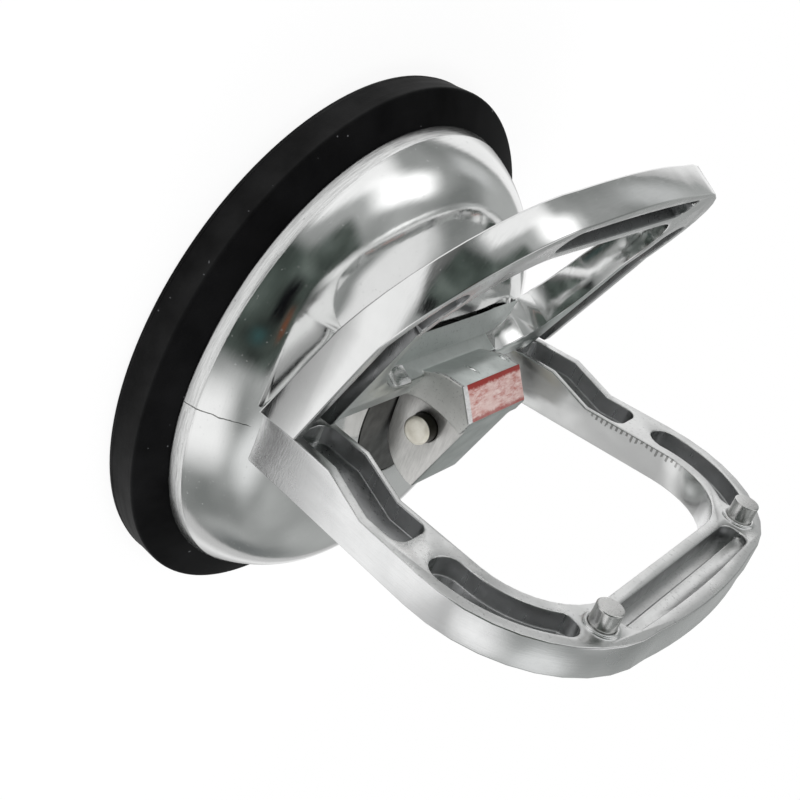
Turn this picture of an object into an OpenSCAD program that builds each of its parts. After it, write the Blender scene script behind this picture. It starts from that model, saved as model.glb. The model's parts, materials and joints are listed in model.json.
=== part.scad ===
// Squeeze-handle suction lifter: a round rubber pad under a cast dome, a fixed grip handle
// that stands on the dome, and a cam lever that lifts the middle of the pad when squeezed.
// Millimetres. The origin is the middle of the pad's flat underside, +Z runs up the dome's axis,
// +X runs along the lever's pin and +Y points to the side where the open lever lies.

/* [Rubber pad] */
// Radius of the pad's lower edge
pad_r = 58.5; // [55:0.5:70]
// How far the pad's side wall leans out at its upper edge
pad_flare = 0.6; // [0:0.1:2]
// Height of the pad's side wall
pad_side_h = 6.75; // [5:0.25:10]
// Rise of the pad's top from the side wall to the dome's rim
pad_crown_h = 2.65; // [1:0.05:5]
// Width of the flat seat that the dome's rim stands on
pad_seat_w = 3; // [2.5:0.1:5]
// Step down from the rim's seat to the top of the pad's inner ring
pad_seat_h = 0.9; // [0.3:0.1:2]
// Radius of the lifting middle of the pad
chamber_r = 40; // [34:0.5:43]
// Thickness of the lifting middle of the pad
diaphragm_t = 5; // [3:0.5:6]
// Gap between the lifting middle and the outer ring
pad_gap = 0.3; // [0.2:0.05:0.6]

/* [Dome] */
// Radius of the dome's rim
rim_r = 52.2; // [50:0.1:56]
// Height of the near-vertical band above the rim
rim_h = 3; // [1:0.1:5]
// Amount that the band leans in
rim_lean = 0.6; // [0:0.1:2]
// How far the shoulder leans in as it leaves the band
shoulder_lean = 5; // [3:0.1:6]
// Height over which it leans
shoulder_h = 11; // [9:0.1:12]
// Radius of the flat top
plateau_r = 22; // [21:0.1:24]
// Length of the crown's run into the flat top
crown_run = 18; // [14:0.1:22]
// Height of the flat top above the rim
dome_h = 18.6; // [18.5:0.1:22]
// Wall thickness of the dome
dome_wall = 1.8; // [1.2:0.1:3]
// Radius of the boss under the middle of the dome
boss_r = 22; // [20:0.5:26]
// Depth of that boss below the flat top
boss_depth = 8; // [6:0.5:9]

/* [Thrust disc and guide bush] */
// Radius of the disc that the cam presses on
disc_r = 18; // [16:0.5:20]
// Thickness of the disc
disc_t = 1.6; // [1:0.1:3]
// Gap around the disc in its recess
disc_gap = 0.4; // [0.2:0.05:0.8]
// Wall thickness of the guide bush
bush_wall = 3; // [2:0.25:5]
// Width of the bush's flange
bush_flange_w = 2.5; // [1.5:0.25:4]
// Thickness of the bush's flange
bush_flange_t = 2; // [1:0.25:3]

/* [Pull stud] */
// Radius of the stud
stud_r = 5.5; // [5:0.1:6.5]
// Thickness of the stud's flat tang at the pin
tang_t = 7; // [5:0.25:7.5]
// Height above the pad's face where the flat tang starts
tang_from_z = 23.4; // [20:0.2:23.8]
// Running gap of the stud in its bush
stud_fit = 0.05; // [0.02:0.01:0.1]
// Seating gap of pieces that are pressed or screwed together
seat_fit = 0.03; // [0.02:0.01:0.1]
// Radius of the steel plate bonded to the middle of the pad
plate_r = 32; // [25:0.5:33]
// Thickness of that plate
plate_t = 2.5; // [1.5:0.25:4]
// Size of the stud's lock nut across its flats
nut_af = 17; // [15:0.5:20]
// Thickness of the lock nut
nut_t = 3.5; // [2:0.25:4]
// Radius of the washer under the lock nut
nut_washer_r = 11; // [10:0.5:14]
// Thickness of that washer
nut_washer_t = 1; // [0.5:0.1:1.5]

/* [Pin and cam hub] */
// Radius of the pin
pin_r = 3; // [2.5:0.1:3.5]
// Height of the pin's axis above the dome's flat top
pin_rise = 8; // [7.5:0.1:9]
// How far each end of the pin stands out of the hub
pin_proud = 0.6; // [0.4:0.1:2]
// Chamfer at the pin's ends
pin_chamfer = 0.6; // [0.2:0.1:1]
// Running gap of the pin in the stud's eye
pin_fit = 0.04; // [0.02:0.01:0.1]
// Width of the hub
hub_w = 22; // [19:0.5:30]
// Radius of the cam
cam_r = 10.2; // [9.6:0.1:11]
// Distance of the cam's centre from the pin towards the grip handle
cam_shift = 3; // [2:0.1:4]
// Gap between the cam and the disc at rest
cam_gap = 0.3; // [0.2:0.05:0.5]
// Length of the flat beside the cam's lowest point, measured from the pin
cam_flat = 3.2; // [1:0.1:5]
// Reach of the hub from the pin on the lever's side
hub_reach = 13.8; // [12:0.1:15]
// Height of the hub's painted corner above the pin
hub_corner_h = 5.6; // [4:0.1:7]
// Length of the hub's upright face below that corner
hub_corner_t = 4.6; // [2:0.1:6]
// Reach of the hub's underside from the pin
hub_waist = 10.5; // [8:0.1:11.5]
// Radius that rounds the hub's upright face towards the web
hub_round = 7; // [4:0.5:8]
// Height of the hub's top edge above the pin
hub_top_h = 9.8; // [8.5:0.1:12]
// Distance of the hub's top edge from the pin
hub_top_reach = 7.6; // [6:0.1:9]
// Slope of the hub's top face in degrees
hub_top_slope = 19.7; // [15:0.1:22]
// Gap between the stud's tang and the hub's slot
slot_gap = 0.4; // [0.3:0.05:0.6]
// Gap between the turning slot and the edges of the tang
slot_clear = 0.6; // [0.4:0.05:0.8]
// Depth of the milled face around the pin
spot_depth = 2.8; // [0.5:0.1:3]
// Radius of the milled face's edge
spot_r = 22; // [18:0.5:30]
// Distance from the pin to that edge on the lever's side
spot_reach = 6.3; // [4:0.1:8]

/* [Both handles] */
// Width across the handle's outer corners
handle_w = 112.5; // [106:0.5:118]
// Width of the hand opening at the crossbar
opening_w = 80.4; // [76:0.2:84]
// Distance from the pin to the crossbar's outer edge
bar_reach = 62.8; // [60:0.2:66]
// Extra reach of the crossbar in the middle
bar_bow = 1.7; // [0.5:0.1:3]
// Width of the crossbar
bar_w = 10.8; // [10.8:0.2:13]
// Outer corner radius
corner_r = 29.8; // [26:0.2:32]
// Inner corner radius
opening_corner_r = 16.5; // [14:0.5:18]
// Splay of each arm's outer edge in degrees
splay_out = 8.5; // [7:0.1:10]
// Splay of each arm's inner edge in degrees
splay_in = 6.4; // [5:0.1:8]
// Thickness of the arms and the crossbar
handle_t = 7; // [6:0.25:9]
// Depth of the pockets
pocket_depth = 4; // [2:0.25:5]
// Corner radius of the root and crossbar pockets
pocket_r = 2.6; // [1:0.1:2.6]
// Rim between the root pocket and the arm's inner edge
root_rim_in = 1.4; // [1:0.1:3]
// Rim between the root pocket and the arm's outer edge
root_rim_out = 2.5; // [1.5:0.1:4]
// Distance from the root pocket's start to the pin
root_pocket_from = 6.5; // [3:0.5:7]
// Distance from the pin to the end of the grip's root pocket
root_pocket_to = 22; // [14:0.5:25]
// Rim around the pocket that turns the corner
corner_rim = 2.8; // [2:0.1:3.6]
// Distance from the pin to the start of that pocket's sides
corner_pocket_from = 31.5; // [30:0.5:33]
// Angle around the corner where that pocket's sides end
corner_pocket_turn = 47; // [35:1:48]
// Rim around the crossbar pocket
bar_rim = 2.5; // [1.5:0.1:2.5]
// Half length of the crossbar pocket
bar_pocket_half = 26.6; // [20:0.2:27.2]
// Depth of the shallow strip along the crossbar pocket's outer side
strip_depth = 1.6; // [0.6:0.1:2]
// Width of that strip
strip_w = 2.6; // [1:0.1:2.6]

/* [Grip handle] */
// Distance from the pin's plane to the grip's thin front face
grip_face = 1.2; // [0:0.1:1.5]
// Extra thickness of the grip's root
grip_raise = 3.7; // [2:0.1:4]
// Height of the thick root above the pin
grip_root_h = 4; // [2:0.5:8]
// Length of the ramp from the thick root to the thin arm
grip_ramp = 10; // [6:0.5:16]
// Height above the dome's band where the feet start, before the dome trims them
foot_start = 6.1; // [5:0.1:7]
// Gap between the grip's feet and the dome
foot_seat = 0.1; // [0.05:0.05:0.3]
// Radius of the stop pegs
peg_r = 2.65; // [2:0.05:3]
// Height of the stop pegs above the grip
peg_h = 4.4; // [3:0.1:4.6]
// Depth of the pegs in the grip
peg_depth = 3.5; // [2:0.25:5]
// Width of the raised ring around each peg
peg_ring_w = 0.85; // [0.4:0.05:1]
// Height of that ring
peg_ring_h = 0.6; // [0.2:0.1:1]
// Distance of the pegs from the middle
peg_x = 31.3; // [30.8:0.1:31.6]
// Distance from the crossbar's outer edge to the pegs
peg_inset = 7.3; // [6.5:0.1:7.8]

/* [Foot screws] */
// Radius of the foot screws
screw_r = 2.5; // [2:0.1:2.6]
// Radius of the screw heads
screw_head_r = 4.25; // [3.8:0.05:4.6]
// Height of the screw heads
screw_head_h = 3.5; // [2.5:0.1:4]
// Radius of the socket in the screw heads
screw_socket_r = 2.3; // [1.5:0.1:2.6]
// Depth of that socket
screw_socket_h = 2; // [1:0.1:2.2]
// Reach of the screws above the dome's flat top
screw_depth = 9; // [6:0.5:10]
// Radius of the screws' washers
screw_washer_r = 5; // [4.8:0.1:5.6]
// Thickness of the screws' washers
screw_washer_t = 1; // [0.6:0.1:1.5]
// Distance of the screws from the middle
screw_x = 38.5; // [37.5:0.1:39.2]
// Distance of the screws behind the pin's plane
screw_back = 2.2; // [2:0.1:2.6]
// Clearance of the screws in the dome and the washers
screw_clear = 0.25; // [0.1:0.05:0.5]
// Radius of the bosses that the screws pass through
screw_boss_r = 6; // [5.8:0.1:7]
// Depth of those bosses below the dome's flat top
screw_boss_depth = 11.5; // [11:0.25:12]

/* [Lever] */
// Angle of the open lever from upright
lever_open = 61; // [57:0.5:62]
// Angle through which the lever turns to meet the grip
lever_travel = 65; // [55:0.5:66]
// Distance from the pin to the lever's thin inner face
lever_face = 9.8; // [9.6:0.1:12]
// Distance from the pin to the lever's inner face at its root
lever_root_face = 6.6; // [6:0.1:7.5]
// Length over which the inner face slopes
lever_face_run = 32; // [24:0.5:40]
// Distance from the pin to the lever's outer face at its root
lever_root_back = 15.1; // [14:0.1:16]
// Length over which the outer face slopes
lever_back_run = 26; // [20:0.5:40]
// Gap between the lever's root and the grip's thick root
lever_root_gap = 0.7; // [0.5:0.05:1.5]
// Gap between the lever and the dome
lever_dome_gap = 0.6; // [0.4:0.05:1]
// Angle around the corner where the long pockets of the lever's arms end
lever_pocket_turn = 22; // [15:1:40]
// Distance from the pin to the edge of the web between the lever's arms
web_reach = 8.5; // [6:0.25:11]
// Step from the arm's inner face down to the web
web_step = 0.5; // [0.2:0.1:1]
// Width of the web's end face in front of the crease
web_crease = 3.85; // [3:0.05:4.5]
// How far the sloped part behind the crease reaches past the end face
web_lip = 3.9; // [2:0.1:4]
// Radius that rounds the lower corners of the lever's opening
web_corner_r = 22; // [14:0.5:24]

/* [Hidden] */
$fn = 96;

// Steps in one rounded corner of an outline
arc_steps = 10;
// Overshoot of cuts past the faces they open
over = 1;
// Radius that eases the crossbar's bow in the middle
bow_r = 300;
// Corner radius at the step in the crossbar pocket's floor
trough_r = 0.5;
// Reach of cuts that run right through, well past the whole object
far = pad_r + handle_w + bar_reach;

// Heights above the pad's face
rim_z = pad_side_h + pad_crown_h;
plateau_z = rim_z + dome_h;
pin_z = plateau_z + pin_rise;
disc_z = plateau_z - disc_t;
boss_z = plateau_z - boss_depth;
plate_z = diaphragm_t;
nut_washer_z = plate_z + plate_t;
nut_z = nut_washer_z + nut_washer_t;
screw_seat_z = plateau_z - screw_boss_depth;
screw_head_z = screw_seat_z - screw_washer_t;

// Radii of the pieces around the stud
stud_hole_r = stud_r + stud_fit;
bush_r = stud_hole_r + bush_wall;

// Places measured from the pin
cam_drop = pin_rise - cam_gap;
cam_up = cam_r - cam_drop;
bar_in = bar_reach - bar_w;
bar_top = bar_reach + bar_bow + over;
grip_back = grip_face - handle_t;
grip_front = grip_face + grip_raise;
lever_back = lever_face + handle_t;
lever_root_y = grip_front + lever_root_gap;
pin_half = hub_w / 2 + pin_proud;

function unit(v) = v / norm(v);
function backwards(path) = [for (i = [len(path) - 1 : -1 : 0]) path[i]];

// Points of an arc about c, from one angle to another
function arc(c, r, from, to) =
  [for (i = [0 : arc_steps])
    let (a = from + (to - from) * i / arc_steps)
    c + r * [cos(a), sin(a)]];

// Centre of the arc that rounds the corner p between its neighbours a and b
function corner_centre(a, p, b, r) =
  let (u = unit(a - p),
       w = unit(b - p))
  p + unit(u + w) * r / sin(acos(u * w) / 2);

// Points of that arc
function corner_arc(a, p, b, r) =
  let (c = corner_centre(a, p, b, r),
       u = unit(a - p),
       w = unit(b - p),
       from = p + u * (u * (c - p)) - c,
       to = p + w * (w * (c - p)) - c,
       start = atan2(from.y, from.x),
       turn = atan2(to.y, to.x) - start,
       sweep = turn > 180 ? turn - 360 : turn < -180 ? turn + 360 : turn)
  arc(c, r, start, start + sweep);

// Closed outline with each corner rounded by its own radius
function rounded(points, radii) =
  let (n = len(points))
  [for (i = [0 : n - 1])
    each radii[i] > 0
      ? corner_arc(points[(i + n - 1) % n], points[i], points[(i + 1) % n], radii[i])
      : [points[i]]];

// Points of an arc from p to q that bulges by the given height to the right of the way
function bulged(p, q, bulge) =
  let (d = q - p,
       r = (norm(d) * norm(d) / 4 + bulge * bulge) / (2 * bulge),
       c = (p + q) / 2 + [d.y, -d.x] / norm(d) * (bulge - r))
  arc(c, r, atan2(p.y - c.y, p.x - c.x), atan2(q.y - c.y, q.x - c.x));

// Points of a smooth sweep from p to q that leaves p towards a and reaches q from b
function swept(p, a, b, q) =
  [for (i = [0 : 2 * arc_steps])
    let (t = i / (2 * arc_steps),
         u = 1 - t)
    u * u * u * p + 3 * u * u * t * a + 3 * u * t * t * b + t * t * t * q];

// A path moved to the right of its way by a distance
function moved_aside(path, d) =
  [for (i = [0 : len(path) - 1])
    let (t = unit(path[min(i + 1, len(path) - 1)] - path[max(i - 1, 0)]))
    path[i] + d * [t.y, -t.x]];

// Outside of the dome above its rim, as radius and height, up to the edge of its flat top
band_top = [rim_r - rim_lean, rim_z + rim_h];
dome_path = swept(band_top, band_top + [-shoulder_lean, shoulder_h],
                  [plateau_r + crown_run, plateau_z], [plateau_r, plateau_z]);

// Lowest point of both handles' blanks, measured from the pin
blank_low = band_top.y + foot_start - pin_z;

// Half widths of a handle at a distance z from the pin
function arm_out(z) = handle_w / 2 - (bar_reach - z) * tan(splay_out);
function arm_in(z) = opening_w / 2 - (bar_in - z) * tan(splay_in);

// Right-hand corners of the handle's outer edge and of its hand opening, root first
outer_run = [[arm_out(blank_low), blank_low], [handle_w / 2, bar_reach], [0, bar_reach]];
opening_run = [[arm_in(blank_low - over), blank_low - over], [opening_w / 2, bar_in], [0, bar_in]];

function flipped(path) = [for (p = path) [-p.x, p.y]];

// Faces of the handles that look at each other, as Y and Z from the root to the crossbar
grip_line = [[grip_front, blank_low],
             [grip_front, grip_root_h],
             [grip_face, grip_root_h + grip_ramp],
             [grip_face, bar_top]];
lever_slope = (lever_face - lever_root_face) / lever_face_run;
lever_back_slope = (lever_back - lever_root_back) / lever_back_run;
lever_line = [[lever_root_face + blank_low * lever_slope, blank_low],
              [lever_face, lever_face_run],
              [lever_face, bar_top]];
lever_back_line = [[lever_root_back + blank_low * lever_back_slope, blank_low],
                   [lever_back, lever_back_run],
                   [lever_back, bar_top]];
grip_back_line = [[grip_back, blank_low], [grip_back, bar_top]];

// Extrudes an outline in X and Z right through Y
module through_y() {
  translate([0, far, 0])
    rotate([90, 0, 0])
      linear_extrude(2 * far)
        children();
}

// Extrudes an outline in Y and Z along X, to the same distance on both sides
module along_x(half) {
  translate([-half, 0, 0])
    rotate([90, 0, 90])
      linear_extrude(2 * half)
        children();
}

// A round bar along X
module bar_x(r, half) {
  rotate([0, 90, 0])
    cylinder(r = r, h = 2 * half, center = true);
}

module at_pin() {
  translate([0, 0, pin_z])
    children();
}

module at_lever() {
  at_pin()
    rotate([-lever_open, 0, 0])
      children();
}

module both_sides() {
  for (side = [0, 1])
    mirror([side, 0, 0])
      children();
}

module at_feet() {
  both_sides()
    translate([screw_x, -screw_back, 0])
      children();
}

module at_pegs() {
  both_sides()
    translate([peg_x, grip_face, pin_z + bar_reach - peg_inset])
      rotate([-90, 0, 0])
        children();
}

// The whole body of the dome, grown by a gap, for trimming what stands over it
module dome_body(gap) {
  rotate_extrude()
    polygon(concat([[0, 0], [rim_r + gap, 0]], moved_aside(dome_path, gap), [[0, plateau_z + gap]]));
}

// Outer edge of a handle: two splayed arms, round corners and a crossbar that bows out
function outer_edge() =
  let (corner = corner_arc(outer_run[0], outer_run[1], outer_run[2], corner_r),
       end = corner[arc_steps],
       arm = [outer_run[0], for (i = [0 : arc_steps - 1]) corner[i]])
  concat(arm,
         bulged(end, [-end.x, end.y], bar_bow),
         backwards(flipped(arm)));

// Edge of the hand opening, which is open at the root
function opening_edge() =
  let (corner = corner_arc(opening_run[0], opening_run[1], opening_run[2], opening_corner_r),
       arm = concat([opening_run[0]], corner))
  concat(arm, backwards(flipped(arm)));

// U-shaped blank of a handle between its two faces
module handle_blank(face, back) {
  intersection() {
    through_y()
      difference() {
        polygon(outer_edge());
        polygon(opening_edge());
      }
    along_x(far)
      polygon(concat(face, backwards(back)));
  }
}

// Pocket beside the root of the right-hand arm
module root_pocket() {
  low = -root_pocket_from;
  top = root_pocket_to;
  polygon(rounded([[arm_in(low) + root_rim_in, low],
                   [arm_out(low) - root_rim_out, low],
                   [arm_out(top) - root_rim_out, top],
                   [arm_in(top) + root_rim_in, top]],
                  [pocket_r, pocket_r, pocket_r, pocket_r]));
}

// Outer and inner side of a pocket that follows the right-hand corner up to an angle
function pocket_out(turn) =
  let (c = corner_centre(outer_run[0], outer_run[1], outer_run[2], corner_r),
       r = corner_r - corner_rim)
  arc(c, r, asin((corner_pocket_from - c.y) / r), turn);
function pocket_in(turn) =
  arc(corner_centre(opening_run[0], opening_run[1], opening_run[2], opening_corner_r),
      opening_corner_r + corner_rim, -splay_in, turn);

// Pocket that turns the right-hand corner, with round ends
module corner_pocket() {
  low = corner_pocket_from;
  out_arc = pocket_out(corner_pocket_turn);
  in_arc = pocket_in(corner_pocket_turn);
  low_end = [[arm_in(low) + corner_rim, low], out_arc[0]];
  far_end = [out_arc[arc_steps], in_arc[arc_steps]];
  polygon(concat(round_end(low_end), out_arc, round_end(far_end), backwards(in_arc), [low_end[0]]));
}

// Pocket along the whole right-hand arm, from beside the root into the corner
module arm_pocket() {
  low = -root_pocket_from;
  out_arc = pocket_out(lever_pocket_turn);
  in_arc = pocket_in(lever_pocket_turn);
  low_in = [arm_in(low) + root_rim_in, low];
  low_out = [arm_out(low) - root_rim_out, low];
  far_end = [out_arc[arc_steps], in_arc[arc_steps]];
  polygon(concat(corner_arc(in_arc[0], low_in, low_out, pocket_r),
                 corner_arc(low_in, low_out, out_arc[0], pocket_r),
                 out_arc, round_end(far_end), backwards(in_arc)));
}

// Half circle over the line between two points, to the right of the way
function round_end(ends) =
  let (c = (ends[0] + ends[1]) / 2,
       d = ends[0] - c,
       start = atan2(d.y, d.x))
  [for (i = [1 : arc_steps - 1])
    let (a = start + 180 * i / arc_steps)
    c + norm(d) * [cos(a), sin(a)]];

// Pocket of the crossbar, which follows its bow
module bar_pocket() {
  low = bar_in + bar_rim;
  end_top = bar_reach - bar_rim;
  top = end_top + bar_bow;
  polygon(rounded([[-bar_pocket_half, low],
                   [bar_pocket_half, low],
                   [bar_pocket_half, end_top],
                   [0, top],
                   [-bar_pocket_half, end_top]],
                  [pocket_r, pocket_r, pocket_r, bow_r, pocket_r]));
}

// Deep trough along the inner side of the crossbar pocket
module bar_trough() {
  low = bar_in + bar_rim;
  top = bar_reach - bar_rim - strip_w;
  polygon(rounded([[-bar_pocket_half, low],
                   [bar_pocket_half, low],
                   [bar_pocket_half, top],
                   [-bar_pocket_half, top]],
                  [pocket_r, pocket_r, trough_r, trough_r]));
}

// Layer of a handle under its face, from just outside the face down to a depth.
// The depth is positive towards +Y.
module under_face(face, depth) {
  along_x(far)
    polygon(concat([for (p = face) p + [depth, 0]],
                   [for (p = backwards(face)) p - [sign(depth) * over, 0]]));
}

// All pockets of a handle, with those of its right-hand arm as children;
// way is the sign of Y from the face into the handle
module pockets(face, way) {
  intersection() {
    union() {
      both_sides()
        through_y()
          children();
      through_y()
        bar_trough();
    }
    under_face(face, way * pocket_depth);
  }
  intersection() {
    through_y()
      bar_pocket();
    under_face(face, way * strip_depth);
  }
}

// Rubber ring that seals on the surface and carries the dome's rim
module suction_pad() {
  seat_in = rim_r - pad_seat_w;
  ring_top = rim_z - pad_seat_h;
  color("dimgray")
    rotate_extrude()
      polygon([[chamber_r, 0],
               [pad_r, 0],
               [pad_r + pad_flare, pad_side_h],
               [rim_r, rim_z],
               [seat_in, rim_z],
               [seat_in, ring_top],
               [chamber_r, ring_top]]);
}

// Middle of the pad, which the stud lifts
module pad_diaphragm() {
  color("gray")
    cylinder(r = chamber_r - pad_gap, h = diaphragm_t);
}

// Steel plate bonded to the top of the pad's middle
module insert_plate() {
  color("lightsteelblue")
    translate([0, 0, plate_z])
      difference() {
        cylinder(r = plate_r, h = plate_t);
        translate([0, 0, -over])
          cylinder(r = stud_r + seat_fit, h = plate_t + 2 * over);
      }
}

module nut_washer() {
  color("gainsboro")
    translate([0, 0, nut_washer_z])
      difference() {
        cylinder(r = nut_washer_r, h = nut_washer_t);
        translate([0, 0, -over])
          cylinder(r = stud_r + seat_fit, h = nut_washer_t + 2 * over);
      }
}

// Thin hexagon nut that locks the stud to the plate
module stud_nut() {
  color("goldenrod")
    translate([0, 0, nut_z])
      difference() {
        cylinder(r = nut_af / 2 / cos(30), h = nut_t, $fn = 6);
        translate([0, 0, -over])
          cylinder(r = stud_r + seat_fit, h = nut_t + 2 * over);
      }
}

// Stud that pulls the pad up, with a flat tang and an eye around the pin
module pull_stud() {
  color("slategray")
    difference() {
      union() {
        translate([0, 0, plate_z])
          cylinder(r = stud_r, h = tang_from_z - plate_z);
        intersection() {
          translate([0, 0, plate_z])
            cylinder(r = stud_r, h = pin_z - plate_z);
          translate([-tang_t / 2, -far, 0])
            cube([tang_t, 2 * far, pin_z]);
        }
        at_pin()
          bar_x(stud_r, tang_t / 2);
      }
      at_pin()
        bar_x(pin_r + pin_fit, tang_t / 2 + over);
    }
}

// Flanged bush that guides the stud through the dome's boss
module guide_bush() {
  color("peru")
    difference() {
      union() {
        translate([0, 0, boss_z])
          cylinder(r = bush_r, h = disc_z - boss_z);
        translate([0, 0, boss_z - bush_flange_t])
          cylinder(r = bush_r + bush_flange_w, h = bush_flange_t);
      }
      translate([0, 0, boss_z - bush_flange_t - over])
        cylinder(r = stud_hole_r, h = plateau_z);
    }
}

// Steel disc on the dome's top that the cam presses on
module thrust_disc() {
  color("darkslategray")
    translate([0, 0, disc_z])
      difference() {
        cylinder(r = disc_r, h = disc_t);
        translate([0, 0, -over])
          cylinder(r = stud_hole_r, h = disc_t + 2 * over);
      }
}

// Cast dome with a boss for the bush and two bosses for the foot screws
module dome_shell() {
  wall = concat([[rim_r - dome_wall, rim_z], [rim_r, rim_z]],
                dome_path,
                [[0, plateau_z], [0, plateau_z - dome_wall]],
                backwards(moved_aside(dome_path, -dome_wall)));
  color("silver")
    difference() {
      union() {
        rotate_extrude()
          polygon(wall);
        translate([0, 0, boss_z])
          cylinder(r = boss_r, h = boss_depth - dome_wall / 2);
        intersection() {
          at_feet()
            translate([0, 0, screw_seat_z])
              cylinder(r = screw_boss_r, h = screw_boss_depth);
          dome_body(0);
        }
      }
      translate([0, 0, disc_z])
        cylinder(r = disc_r + disc_gap, h = disc_t + over);
      translate([0, 0, boss_z - over])
        cylinder(r = bush_r + seat_fit, h = boss_depth);
      at_feet()
        translate([0, 0, screw_seat_z - over])
          cylinder(r = screw_r + screw_clear, h = screw_boss_depth + 2 * over);
    }
}

// Fixed handle that stands on the dome
module grip_handle() {
  color("lightgray")
    difference() {
      union() {
        difference() {
          at_pin()
            handle_blank(grip_line, grip_back_line);
          at_pin()
            pockets(grip_line, -1) {
              root_pocket();
              corner_pocket();
            }
          dome_body(foot_seat);
        }
        at_pegs()
          translate([0, 0, -over])
            cylinder(r = peg_r + peg_ring_w, h = peg_ring_h + over);
      }
      at_pegs()
        translate([0, 0, -peg_depth])
          cylinder(r = peg_r + seat_fit, h = peg_depth + peg_ring_h + over);
      at_feet()
        cylinder(r = screw_r + seat_fit, h = plateau_z + screw_depth + over);
    }
}

// Pegs that stop the lever
module stop_pegs() {
  color("gray")
    at_pegs()
      translate([0, 0, -peg_depth])
        cylinder(r = peg_r, h = peg_depth + peg_h);
}

// Screws that hold the grip's feet from inside the dome
module foot_screws() {
  color("dimgray")
    at_feet()
      difference() {
        union() {
          translate([0, 0, screw_head_z - screw_head_h])
            cylinder(r = screw_head_r, h = screw_head_h);
          translate([0, 0, screw_head_z])
            cylinder(r = screw_r, h = plateau_z + screw_depth - screw_head_z);
        }
        translate([0, 0, screw_head_z - screw_head_h - over])
          cylinder(r = screw_socket_r, h = screw_socket_h + over, $fn = 6);
      }
}

module foot_washers() {
  color("gainsboro")
    at_feet()
      translate([0, 0, screw_head_z])
        difference() {
          cylinder(r = screw_washer_r, h = screw_washer_t);
          translate([0, 0, -over])
            cylinder(r = screw_r + screw_clear, h = screw_washer_t + 2 * over);
        }
}

// Hub of the lever: a cam below the pin, a painted corner above the web
// and a milled face on each side
module hub_body() {
  cam_c = [-cam_shift, cam_up];
  top_edge = [hub_top_reach, hub_top_h];
  top_way = 90 + hub_top_slope;
  top_d = [cos(top_way), sin(top_way)] * (top_edge - cam_c);
  waist = [hub_waist, lever_dome_gap - pin_rise];
  difference() {
    along_x(hub_w / 2)
      polygon(concat(arc(cam_c, cam_r, top_way + acos(top_d / cam_r), 270),
                     [[cam_flat, -cam_drop],
                      waist],
                     corner_arc(waist, [hub_reach, hub_corner_h - hub_corner_t],
                                [hub_reach, hub_corner_h], hub_round),
                     [[hub_reach, hub_corner_h],
                      top_edge]));
    both_sides()
      translate([hub_w / 2 - spot_depth, spot_reach - spot_r, 0])
        rotate([0, 90, 0])
          cylinder(r = spot_r, h = spot_depth + over);
  }
}

// Room in the hub for the stud's eye and tang over the lever's travel
module hub_slot() {
  clear_r = stud_r + slot_clear;
  reach = hub_reach + 2 * cam_r;
  side = arc([0, 0], clear_r, 0, 180 - lever_travel);
  along_x(tang_t / 2 + slot_gap)
    polygon(concat([[clear_r, -reach]],
                   side,
                   [side[arc_steps] - reach * [sin(lever_travel), cos(lever_travel)],
                    [-reach, -reach]]));
}

// Web between the lever's arms, with a sloped part behind the crease of its end face
module lever_web() {
  front = lever_root_face + web_reach * lever_slope + web_step;
  lip = web_reach + web_lip;
  along_x(arm_in(web_reach) + root_rim_in)
    polygon([[lever_line[0].x + web_step, blank_low],
             [front, web_reach],
             [front + web_crease, web_reach],
             [lever_root_back + lip * lever_back_slope - web_step, lip],
             [lever_back_line[0].x - web_step, blank_low]]);
}

// Rounded lower corners of the opening, as thick as the arms
module web_corners() {
  corner = [arm_in(web_reach), web_reach];
  bend = corner_arc([0, web_reach], corner, opening_run[1], web_corner_r);
  last = bend[len(bend) - 1];
  intersection() {
    both_sides()
      through_y()
        polygon(concat(bend,
                       [last + [root_rim_in / 2, 0],
                        corner + [root_rim_in / 2, -over],
                        [bend[0].x, web_reach - over]]));
    along_x(far)
      polygon(concat(lever_line, backwards(lever_back_line)));
  }
}

// Cam lever: U-shaped handle, web and hub in one casting
module lever_handle() {
  color("whitesmoke")
    difference() {
      union() {
        difference() {
          at_lever() {
            handle_blank(lever_line, lever_back_line);
            lever_web();
            web_corners();
          }
          at_lever()
            pockets(lever_line, 1)
              arm_pocket();
          dome_body(lever_dome_gap);
          translate([-far, lever_root_y - 2 * far, -far])
            cube(2 * far);
        }
        at_pin()
          hub_body();
      }
      at_pin() {
        hub_slot();
        bar_x(pin_r + seat_fit, hub_w);
      }
    }
}

// Steel pin pressed into the hub, on which the stud's eye turns
module pivot_pin() {
  color("ivory")
    at_pin()
      union() {
        bar_x(pin_r, pin_half - pin_chamfer);
        both_sides()
          translate([pin_half - pin_chamfer, 0, 0])
            rotate([0, 90, 0])
              cylinder(r1 = pin_r, r2 = pin_r - pin_chamfer, h = pin_chamfer);
      }
}

suction_pad();
pad_diaphragm();
insert_plate();
nut_washer();
stud_nut();
pull_stud();
guide_bush();
thrust_disc();
dome_shell();
grip_handle();
stop_pegs();
foot_screws();
foot_washers();
lever_handle();
pivot_pin();
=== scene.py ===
import json
import math
from functools import partialmethod

import bpy
from bpy.props import FloatProperty, FloatVectorProperty, IntProperty, PointerProperty
from mathutils import Matrix, Vector
from mathutils.bvhtree import BVHTree
from mathutils.geometry import intersect_point_line

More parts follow.
